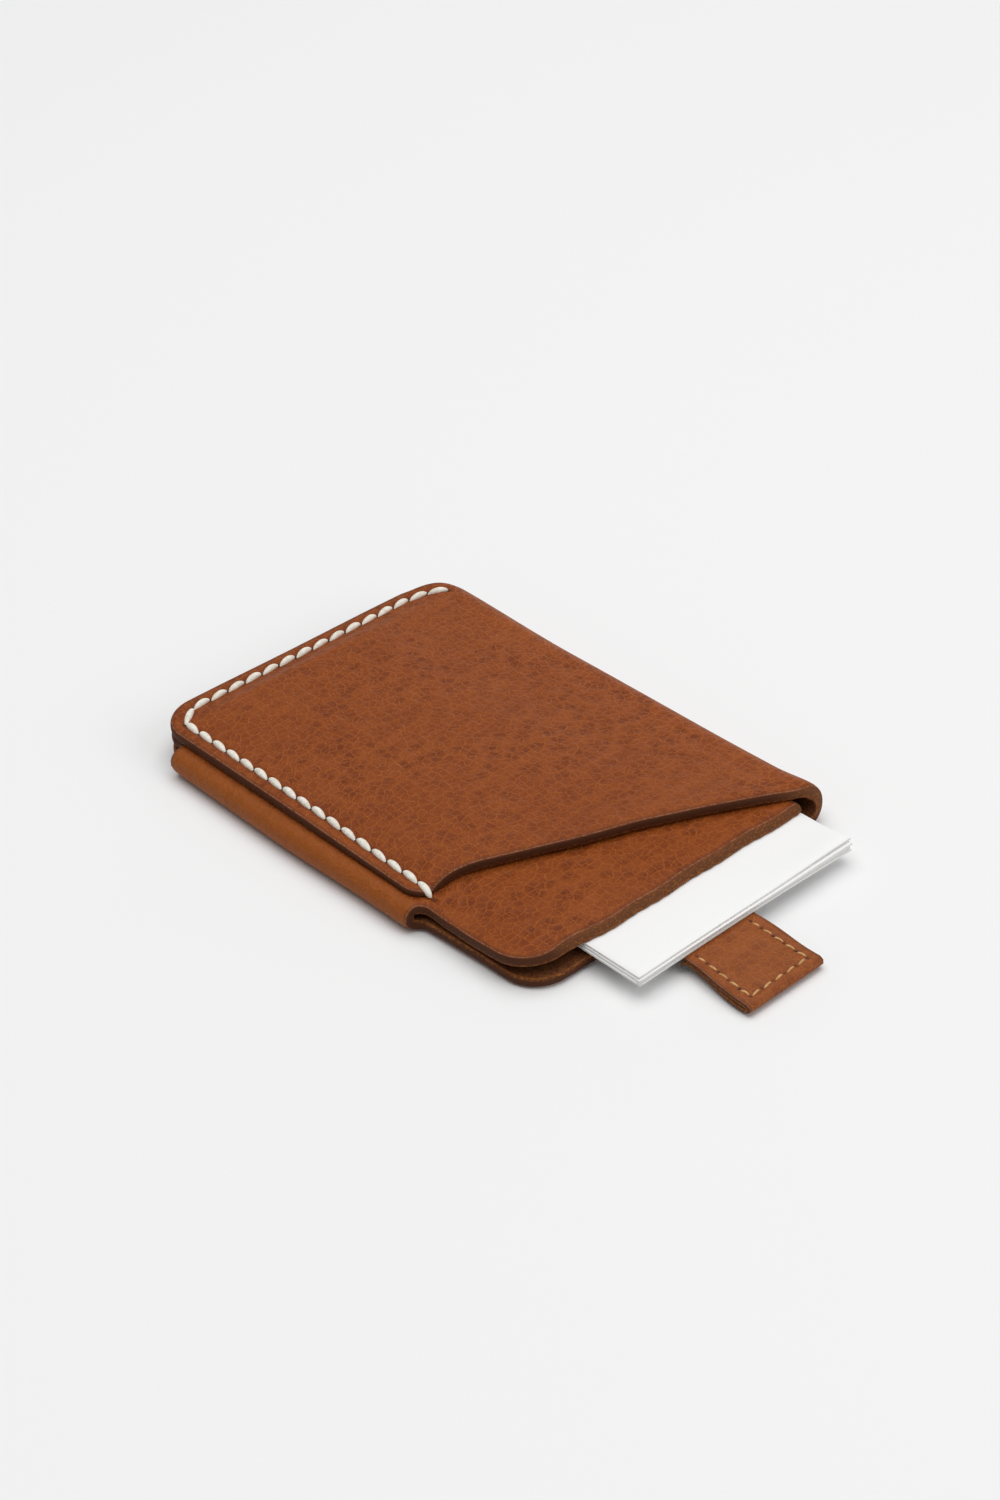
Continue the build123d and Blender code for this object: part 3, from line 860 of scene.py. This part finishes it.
def row_of(path, height_of, slants, skew=0.0):
    """Stitches along a path of holes; slants are turns in degrees off the row's own direction."""
    laid = []
    for (start, end), slant in zip(zip(path, path[1:]), slants):
        run = np.array(end) - np.array(start)
        centre = (np.array(start) + np.array(end)) / 2
        pitch = math.atan2(height_of(*end) - height_of(*start), np.hypot(*run))
        yaw = math.atan2(run[1], run[0]) + math.radians(slant)
        height = (height_of(*start) + height_of(*end)) / 2 + skew
        laid.append(((*centre, height), (0.0, -pitch, yaw), float(np.hypot(*run))))
    return laid


# %% [markdown]
# ## Threads
# The seam is a waxed off-white cord, chalky and thick. The tab and the anchor are machine-sewn with fine tan
# thread. Both are painted from one recipe: a base colour, a duller tone in the creases, and a fibre bump.

# %% Thread paints
def thread_paint(name, pale, dull, fibre):
    """Twisted thread: faint mottling and fine fibres."""
    paint = Paint(name)
    where = paint.object_mm()
    tone = paint.noise(where, 1.3, 3.0)
    strands = paint.noise(paint.scaled(where, 3.0, 3.0, 9.0), fibre, 3.0, 0.7)
    paint.bump(strands, 0.00012, 0.6)
    shade = (tone * 0.6 + strands * 0.4).step(0.35, 0.62)
    return paint.set(Base_Color=paint.blend(shade, dull, pale), Roughness=0.72)


waxed_thread = thread_paint("waxed_thread_paint", (0.88, 0.85, 0.77, 1), (0.70, 0.64, 0.52, 1), 1.2)
fine_thread = thread_paint("fine_thread_paint", (0.70, 0.42, 0.18, 1), (0.48, 0.25, 0.085, 1), 2.5)

# %% Seam stitches
SLANT, LEFT_SLANT = 11.0, 8.0
SEAM_LENGTH, SEAM_THREAD, SEAM_BOW = 3.95, 1.36, 0.40
SEAM_PROUD = 0.16
UNDER_Z = 0.56


def front_top(x, y):
    """Height of the front panel's grain at one place; past its edge, the middle panel's."""
    if y < slit(x) - 0.3:
        return float(middle_under(x, y)) + LEATHER - 0.25
    return float(front_under(x, y) - skived(x, y)) + LEATHER - 0.3


slants = [-LEFT_SLANT] * LEFT_STITCHES + [0.0] + [SLANT] * CLOSED_STITCHES
top_row = row_of(holes, front_top, slants, SEAM_PROUD)
(last_x, last_y, last_z), (_, last_pitch, last_yaw), last_run = top_row[0]
top_row[0] = ((last_x - 0.1, last_y + 0.1, last_z + 0.3), (0.0, 0.75 * last_pitch, last_yaw), 0.95 * last_run)
under_row = row_of(holes, lambda x, y: UNDER_Z, [-s for s in slants])
seam_stitches = [(c, t, run / STITCH) for c, t, run in top_row + under_row]
seam = sewn("seam_stitching", seam_stitches, SEAM_LENGTH, SEAM_THREAD, SEAM_BOW, waxed_thread)
low_point = min(v.co.z for v in seam.data.vertices) / MM
print("lowest thread", round(low_point, 3), "mm")

# %% [markdown]
# ## The pull strap
# The strap is one strip: folded under itself at the tab and sewn, thinned where it runs under the cards,
# turned up round their inner ends, and brought back over them to its anchor. It is drawn flat as well, and a
# path in the side view bends it. It slides, so it is two pieces: one from the tab to the turn, one from the
# turn to the anchor.

# %% Bend a strip along a side-view path
STRAP_LEFT, STRAP_RIGHT = run_low[0], run_high[0]
RUN_T = run_high[2] - run_low[2]
TAB_T = (tab_high[2] - tab_low[2]) / 2
LAYER_GAP = 0.04
TAB_SHEET = TAB_T - LAYER_GAP
LOOP_TURN = (upper_high[2] - run_low[2]) / 2
PATH_STEPS, TAB_RIM_STEP, TAB_RIM_GAP = 400, 0.5, 0.25
FLARE = 0.8
TAB_FRONT_Y, TAB_REAR_Y = tab_low[1], run_low[1]


def path_placer(path):
    """A function that lays flat points (x, s) on a side-view path of (y, z) points; also its length."""
    path = np.array(path)
    gaps = np.hypot(*np.diff(path, axis=0).T)
    marks = np.concatenate([[0], np.cumsum(gaps)])

    def place(x, s):
        inner = np.clip(s, 0, marks[-1])
        along = (path[-1] - path[-2]) / gaps[-1] * np.maximum(s - marks[-1], 0)[..., None]
        before = (path[1] - path[0]) / gaps[0] * np.minimum(s, 0)[..., None]
        y = np.interp(inner, marks, path[:, 0]) + (along + before)[..., 0]
        z = np.interp(inner, marks, path[:, 1]) + (along + before)[..., 1]
        return np.stack([x, y, z], axis=-1)

    return place, marks[-1]


def normals_of(place, step=0.04):
    """Numerical unit normals of a placing function."""

    def normal(u, v):
        along_u = place(u + step, v) - place(u - step, v)
        along_v = place(u, v + step) - place(u, v - step)
        out = np.cross(along_u, along_v)
        return out / np.linalg.norm(out, axis=-1, keepdims=True)

    return normal


def arc_path(centre_y, centre_z, radius, first, last, count=24):
    """Side-view arc between two angles in degrees, anticlockwise from +y towards +z."""
    angles = np.radians(np.linspace(first, last, count))
    return [(centre_y + radius * math.cos(a), centre_z + radius * math.sin(a)) for a in angles]


def strip(name, path, thickness_of, step, bulge, sink_of, uv_shift):
    """A strip of leather bent along a side-view path."""
    place, length = path_placer(path)
    left, right = STRAP_LEFT + bulge, STRAP_RIGHT - bulge
    long_side = np.linspace(bulge, length - bulge, round(length / TAB_RIM_STEP))
    short_side = np.linspace(left, right, round((right - left) / TAB_RIM_STEP))
    wave = 0.1 * np.sin(long_side / 3.7) + 0.06 * np.sin(long_side / 1.9 + 1)
    flare = FLARE * smooth(TAB_FRONT_Y + 2, TAB_REAR_Y, place(long_side * 0, long_side)[:, 1])
    rim_points = [(x, bulge) for x in short_side[:-1]]
    rim_points += [(right + w, s) for s, w in zip(long_side, wave)][:-1]
    rim_points += [(x, length - bulge) for x in short_side[::-1][:-1]]
    rim_points += [(left + w, s) for s, w in zip(long_side[::-1], wave + flare[::-1])][:-1]
    rim_points = np.array(rim_points)
    inner = grid(left, right, bulge, length - bulge, step)
    inner = inner[inside(inner, rim_points)]
    inner = inner[distance_to_path(inner, rim_points, closed=True) > TAB_RIM_GAP]
    points, tris = filled(rim_points, inner)
    to_edge = distance_to_path(points, rim_points, closed=True)
    sunk = sink_of(points) + 0.1 * np.exp(-to_edge / 0.4)
    count = len(rim_points)
    thick = thickness_of(place(*points.T)[:, 1])
    made, made_faces, made_flat, made_side = thick_sheet(
        points, tris, count, place, normals_of(place), thick, bulge, sunk
    )
    edges = np.concatenate([to_edge, to_edge, np.zeros(count * (EDGE_RINGS - 1))])
    facts = {"side": made_side, "edge_mm": edges, "hole_mm": nearest(made[:, :2], tab_holes)}
    return make_mesh(name, made, made_faces, made_flat + uv_shift, facts)


# %% Tab and lower run
RUN_TOP = run_high[2]
LOOP_START_Y = run_high[1]
ROW_INSET, END_ROW_INSET, ROW_START = 2.1, 2.0, 14.5
NOSE_R = TAB_T - TAB_SHEET / 2
NOSE_DIP = 0.2
NOSE_TOP = tab_high[2] - NOSE_DIP
LAYER_LINE = 2 * LAYER_GAP


def strap_thickness(y):
    """Full at the tab's nose, skived thin where the strap runs under the cards."""
    return TAB_SHEET + (RUN_T - TAB_SHEET) * smooth(TAB_REAR_Y - 9.0, TAB_REAR_Y - 0.5, y)


def strap_top(y):
    """Height of the strap's upper face: flat under the cards, dipping to the tab's nose near the floor."""
    return NOSE_TOP + (RUN_TOP - NOSE_TOP) * smooth(TAB_FRONT_Y + 3, TAB_REAR_Y - 0.5, y)


def fold_under_top(y):
    """Height of the upper face of the layer folded under at the tab."""
    return strap_top(y) - strap_thickness(y) - LAYER_LINE


row_left, row_right = STRAP_LEFT + ROW_INSET, STRAP_RIGHT - ROW_INSET
row_front, row_back = TAB_FRONT_Y + END_ROW_INSET, TAB_FRONT_Y + ROW_START
TAB_STITCHES = 5

tab_holes = evenly((row_left + FLARE, row_back), (row_left, row_front), TAB_STITCHES)
tab_holes += evenly((row_left, row_front), (row_right, row_front), TAB_STITCHES)[1:]
tab_holes += evenly((row_right, row_front), (row_right, row_back), TAB_STITCHES)[1:]

nose_y = TAB_FRONT_Y + TAB_T
nose_z = float(strap_top(nose_y)) - TAB_SHEET / 2 - NOSE_R
under_run = np.linspace(TAB_REAR_Y, nose_y, 30)
tab_path = [(y, float(fold_under_top(y) - strap_thickness(y) / 2)) for y in under_run]
tab_path += arc_path(nose_y, nose_z, NOSE_R, 270, 90, 20)[1:]
long_run = np.linspace(nose_y, LOOP_START_Y, PATH_STEPS)[1:]
tab_path += [(y, float(strap_top(y)) - float(strap_thickness(y)) / 2) for y in long_run]
tab_place, tab_length = path_placer(tab_path)


def tab_sink(points):
    """Dents along the tab's stitching, above and below."""
    seen = tab_place(*points.T)[:, :2]
    near_row = distance_to_path(seen, np.array(tab_holes))
    return dent(0.17, near_row, 0.55) + dent(0.2, nearest(seen, tab_holes), 0.35)


TAB_GRAIN_AT, TURN_GRAIN_AT = (200.0, 40.0), (230.0, 40.0)
strap_front = strip("pull_strap", tab_path, strap_thickness, 0.55, 0.28, tab_sink, TAB_GRAIN_AT)
print("strap length", round(tab_length, 1), "mm, faces", len(strap_front.data.polygons))

# %% Turn, upper run and anchor
loop_path = arc_path(LOOP_START_Y, run_low[2] + LOOP_TURN, LOOP_TURN - RUN_T / 2, -90, 90)
anchor_low, anchor_high = box_mm("strap_anchor")
loop_path += [(y, upper_low[2] + RUN_T / 2) for y in np.linspace(LOOP_START_Y, anchor_low[1], 90)[1:]]



def run_thickness(y):
    """The skived run's thickness, the same all along."""
    return np.full(len(y), RUN_T)


def unmarked(points):
    """No stitching, so no dents."""
    return np.zeros(len(points))


strap_back = strip("strap_turn", loop_path, run_thickness, 0.9, 0.12, unmarked, TURN_GRAIN_AT)

# %% Fine stitching of the tab and the anchor
TAB_SLANT, FINE_PITCH = 9.0, 2.5
FINE_SUNK, REAR_SUNK = 0.1, 0.18
ANCHOR_STITCHES, ANCHOR_IN, ANCHOR_SUNK = 6, 2, 0.12


def tab_stitch_height(x, y):
    """Proud of the tab at its nose, sunk where the cards may ride over it."""
    return float(strap_top(y)) - FINE_SUNK - REAR_SUNK * float(smooth(TAB_REAR_Y - 6, TAB_REAR_Y - 2, y))


def tab_under_height(x, y):
    """Just inside the lower face of the folded layer."""
    return float(fold_under_top(y) - strap_thickness(y)) + 0.18


def fine_row(name, path, heights, slants, length, thickness, bow):
    """Fine stitches along a path at each of two heights."""
    rows = []
    for height, slant in zip(heights, slants):
        rows += row_of(path, height, [slant] * len(path))
    return sewn(name, [(c, t, run / FINE_PITCH) for c, t, run in rows], length, thickness, bow, fine_thread)


heights = (tab_stitch_height, tab_under_height)
tab_sewing = fine_row("tab_stitching", tab_holes, heights, (TAB_SLANT, -TAB_SLANT), 1.78, 0.46, 0.16)

anchor_y = (anchor_low[1] + anchor_high[1]) / 2
anchor_ends = [(anchor_low[0] + ANCHOR_IN, anchor_y), (anchor_high[0] - ANCHOR_IN, anchor_y)]
anchor_holes = evenly(*anchor_ends, ANCHOR_STITCHES)
anchor_top_z = float(middle_under(STRAP_MID, anchor_y)) + LEATHER - ANCHOR_SUNK
heights = (lambda x, y: anchor_top_z, lambda x, y: anchor_low[2] + 0.14)
anchor_sewing = fine_row("anchor_stitching", anchor_holes, heights, (TAB_SLANT, TAB_SLANT), 1.9, 0.2, 0.05)

# %% [markdown]
# ## The cards
# Four blank cards lie loosely squared. A real stack is never a block: each card is turned a fraction, sags a
# little either side of the strap that lifts it, and the near right corners fan apart.

# %% Cards
CARD_INSET, CARD_COLUMNS, CARD_ROWS = 0.05, 40, 60
CARD_NAMES = ["card_1", "card_2", "card_3", "card_4"]
CARD_TURNS = [0.30, -0.20, 0.12, 0.42]
CARD_W, CARD_L = 50.8, 88.9
CURL, FAN, CURL_LENGTH, CURL_START = 0.62, 0.27, 6.8, 4.0


def card_sheet(index, node, turn):
    """One card: a thin sheet that sags and fans."""
    low, high = box_mm(node)
    centre = (low + high) / 2
    thick = high[2] - low[2]
    cos, sin = math.cos(math.radians(turn)), math.sin(math.radians(turn))

    def place(a, b):
        x = centre[0] + a * cos - b * sin
        y = centre[1] + a * sin + b * cos
        corner = smooth(CURL_START, CARD_W / 2, a) * smooth(CURL_LENGTH - CARD_L / 2, -CARD_L / 2, b)
        fan = (CURL - FAN * (len(CARD_NAMES) - 1 - index)) * corner
        return np.stack([x, y, centre[2] - droop(x) + fan], axis=-1)

    half_w, half_l = CARD_W / 2 - CARD_INSET, CARD_L / 2 - CARD_INSET
    across = np.linspace(-half_w, half_w, CARD_COLUMNS)
    down = np.linspace(-half_l, half_l, CARD_ROWS)
    rim_points = [(x, -half_l) for x in across[:-1]] + [(half_w, y) for y in down[:-1]]
    rim_points += [(x, half_l) for x in across[::-1][:-1]] + [(-half_w, y) for y in down[::-1][:-1]]
    inner = np.stack(np.meshgrid(across[1:-1], down[1:-1]), axis=-1).reshape(-1, 2)
    points, tris = filled(np.array(rim_points), inner)
    made, made_faces, made_flat, made_side = thick_sheet(
        points, tris, len(rim_points), place, normals_of(place), thick, CARD_INSET, np.zeros(len(points))
    )
    return make_mesh(f"blank_{node}", made, made_faces, made_flat, {"side": made_side})


cards = [card_sheet(i, node, turn) for i, (node, turn) in enumerate(zip(CARD_NAMES, CARD_TURNS))]
print("cards", len(cards))

# %% [markdown]
# ## Paints for leather and card
# The hide is vegetable-tanned and full-grain: a warm chestnut with darker oval pebbles about three
# millimetres apart, a net of paler creases between them, and slow cloudiness over the whole blank. The long
# fold is stretched smooth, and the short one is lighter. Cut edges are burnished dark with raw orange fibres
# near the flesh side, and the mouth's cuts are left paler. A thin painted highlight runs along the top rim of
# the cuts, and the flesh side's suede tone is darkened with painted shade. All of it is drawn in flat
# coordinates, so the grain runs round the folds.

# %% Leather paint
CHESTNUT = (0.242, 0.050, 0.0045, 1)
PEBBLE = (0.125, 0.021, 0.0025, 1)
CREASE = (0.37, 0.098, 0.015, 1)
BURNISHED = (0.075, 0.021, 0.006, 1)
PAINTED_EDGE_HIGHLIGHT = (0.40, 0.18, 0.10, 1)
RAW_FIBRE = (0.30, 0.10, 0.022, 1)
OPEN_CUT = (0.135, 0.045, 0.015, 1)
# flesh side: orange-brown suede tone darkened with painted shade
SHADED_FLESH = (0.16, 0.052, 0.015, 1)
FOLD_TONE = (0.31, 0.083, 0.011, 1)
SHADOWED = (0.04, 0.011, 0.005, 1)


BUMP_DEPTH, BUMP_STRENGTH = 0.0003, 0.65


def leather_paint(name, tones, hole_size, raw_start, gloss, wrap_facts):
    """Full-grain leather with edge, flesh and, on the wrap, fold and seam tones."""
    tone, pebble_tone, crease_tone = tones
    paint = Paint(name)
    flat_at = paint.flat_mm()
    pushed = paint.warped(flat_at, 0.2, 1.6)
    clouds = paint.noise(flat_at, 0.07, 3.0)
    grain_mask = paint.noise(flat_at, 0.045, 2.0, 0.6).step(0.36, 0.56)
    pebble = 1.0 - paint.cells(paint.scaled(pushed, 0.9, 1.05, 1.0), 0.31).step(0.08, 0.62)
    pebble = pebble * (paint.noise(flat_at, 0.14, 1.0).step(0.3, 0.6) * 0.6 + 0.4) * (grain_mask * 0.6 + 0.4)
    broken = paint.noise(flat_at, 0.9, 2.0).step(0.38, 0.62)
    creases = 1.0 - paint.cells(pushed, 0.62, "DISTANCE_TO_EDGE").step(0.0, 0.15)
    fine_at = paint.warped(flat_at, 1.2, 0.7)
    fine_creases = (1.0 - paint.cells(fine_at, 1.35, "DISTANCE_TO_EDGE").step(0.0, 0.22)) * broken
    mottle = paint.noise(flat_at, 1.5, 4.0, 0.65)
    pores = paint.noise(flat_at, 4.5, 3.0, 0.7)
    wrinkles = paint.noise(paint.scaled(pushed, 0.14, 1.0, 1.0), 0.7, 3.0, 0.6)
    smooth_hide = 1.0 - grain_mask * 0.7

    colour = paint.blend(clouds.step(0.3, 0.7) * 0.3, tone, crease_tone)
    colour = paint.blend(mottle.step(0.40, 0.66) * 0.3, colour, pebble_tone)
    colour = paint.blend(pebble * 0.76, colour, pebble_tone)
    colour = paint.blend((creases * 0.5 + fine_creases * 0.55).clamp(), colour, crease_tone)
    colour = paint.blend(pores.step(0.40, 0.68) * 0.25, colour, pebble_tone)
    colour = paint.blend(wrinkles.step(0.48, 0.68) * smooth_hide * 0.3, colour, pebble_tone)
    height = pores * 0.2 + mottle * 0.35 - pebble * 0.9 + creases * 0.35 + fine_creases * 0.3
    height = height - wrinkles * smooth_hide * 0.35
    edge_mm, side = paint.attribute("edge_mm"), paint.attribute("side")

    if wrap_facts:
        u = paint.node("ShaderNodeSeparateXYZ", out=0, Vector=flat_at)
        stretched = u.step(U_FRONT_END - 9.0, U_FRONT_END) * (1.0 - u.step(U_BACK, U_BACK + 4.0))
        height = height * (1.0 - stretched * 0.6)
        fold = u.step(U_LEFT - 3.0, U_LEFT) * (1.0 - u.step(U_MIDDLE - 1.2, U_MIDDLE + 1.5))
        colour = paint.blend(fold * 0.8, colour, FOLD_TONE)
        colour = paint.blend((1.0 - paint.attribute("seam_mm").step(0.5, 1.7)) * 0.35, colour, pebble_tone)

    near_hole = 1.0 - paint.attribute("hole_mm").step(hole_size * 0.4, hole_size)
    colour = paint.blend(near_hole * 0.92, colour, SHADOWED)
    rim_tone = 1.0 - (edge_mm + pores * 0.5 - 0.25).step(0.0, 0.7)
    colour = paint.blend(rim_tone * 0.45, colour, BURNISHED)
    fibres = paint.noise(paint.scaled(paint.object_mm(), 1.0, 1.0, 2.5), 1.6, 4.0, 0.75)
    on_edge = side.step(0.05, 0.22)
    # painted highlight: a thin pale line along the top rim of the cut edges, where their rounding catches the
    # light
    painted_edge_highlight = side.step(0.01, 0.05) * (1.0 - side.step(0.08, 0.15)) * fibres.step(0.38, 0.6)
    raw = (side + fibres * 0.8 - 0.4).step(raw_start, raw_start + 0.3) * fibres.step(0.35, 0.6)
    cut_colour = BURNISHED
    if wrap_facts:
        at_fold_mouth = u.step(U_FRONT_END - 6.0, U_FRONT_END) * (1.0 - u.step(U_BACK - 4.0, U_BACK))
        open_cut = at_fold_mouth + u.step(U_MIDDLE + 6.0, U_MIDDLE + 12.0)
        cut_colour = paint.blend(open_cut, BURNISHED, OPEN_CUT)
        raw = (raw + open_cut * fibres.step(0.5, 0.62) * 0.7).clamp()
    edge_colour = paint.blend(raw, cut_colour, RAW_FIBRE)
    colour = paint.blend(on_edge, colour, edge_colour)
    # lay the painted edge highlight over the edge colour
    colour = paint.blend(painted_edge_highlight * 0.6, colour, PAINTED_EDGE_HIGHLIGHT)
    # flesh side: suede tone with dark fibres, darkened with painted shade because it lies hidden inside the
    # pockets
    shaded_flesh_colour = paint.blend(fibres.step(0.35, 0.65), SHADED_FLESH, BURNISHED)
    colour = paint.blend(side.step(0.86, 0.99), colour, shaded_flesh_colour)

    rough = 0.52 - gloss * 0.4 + pores * 0.16 + pebble * 0.05 + on_edge * 0.15 + raw * on_edge * 0.2
    height = height * (1.0 - on_edge) + fibres * on_edge * 1.2
    paint.bump(height, BUMP_DEPTH, BUMP_STRENGTH)
    paint.set(Specular_IOR_Level=gloss)
    return paint.set(Base_Color=colour, Roughness=rough.clamp())


WRAP_TONES = (CHESTNUT, PEBBLE, CREASE)
STRAP_TONES = ((0.268, 0.066, 0.009, 1), (0.16, 0.033, 0.004, 1), (0.37, 0.105, 0.018, 1))
wrap_leather = leather_paint("wrap_leather_paint", WRAP_TONES, 0.7, 0.58, 0.18, True)
strap_leather = leather_paint("strap_leather_paint", STRAP_TONES, 0.56, 0.3, 0.26, False)


# %% Card paint
def card_paint():
    """Matt uncoated board: white faces, greyer cut edges, a trace of fibre."""
    paint = Paint("card_board_paint")
    where = paint.object_mm()
    fibre = paint.noise(where, 2.2, 4.0, 0.7)
    side = paint.attribute("side")
    on_edge = side.step(0.05, 0.2) * (1.0 - side.step(0.8, 0.98))
    face = paint.blend(fibre, (0.86, 0.86, 0.85, 1), (0.90, 0.90, 0.895, 1))
    colour = paint.blend(on_edge * 0.75, face, (0.76, 0.735, 0.70, 1))
    paint.bump(fibre, 0.00003, 0.4)
    return paint.set(Base_Color=colour, Roughness=0.62 + fibre * 0.12)


card_board = card_paint()
finishes = [(wrap_leather, [wrap]), (strap_leather, [strap_front, strap_back]), (card_board, cards)]
for finish, painted in finishes:
    for piece in painted:
        piece.data.materials.append(finish)
print("paints", [m.name for m in bpy.data.materials if m.users])

# %% [markdown]
# ## Hand pieces to their bodies
# Each piece stands for the frame's solids of the same thing, which are hidden. The wrap, the seam and anchor
# stitching and the cards ride the bodies they belong to, and the tab's stitching rides the tab. The two
# halves
# of the strap are fixed where they lie: the tab's run reaches from the tab to the turn, the upper run from
# the turn to the holder.

# %% Ride and replace
PANELS = ("wrap_back_panel", "wrap_left_fold", "wrap_middle_panel", "wrap_right_fold", "wrap_front_panel")
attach(wrap, "holder")
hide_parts(*PANELS)
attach(seam, "holder")
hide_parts("seam_thread")
for sewing, body, node in ((anchor_sewing, "holder", "anchor_thread"), (tab_sewing, "tab", "tab_thread")):
    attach(sewing, body)
    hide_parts(node)

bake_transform(strap_front)
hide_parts("pull_tab", "strap_lower_run")
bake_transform(strap_back)
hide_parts("strap_loop", "strap_upper_run", "strap_anchor")

for piece, node, body in zip(cards, CARD_NAMES, ("card_a", "card_b", "card_c", "card_d")):
    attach(piece, body)
    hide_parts(node)
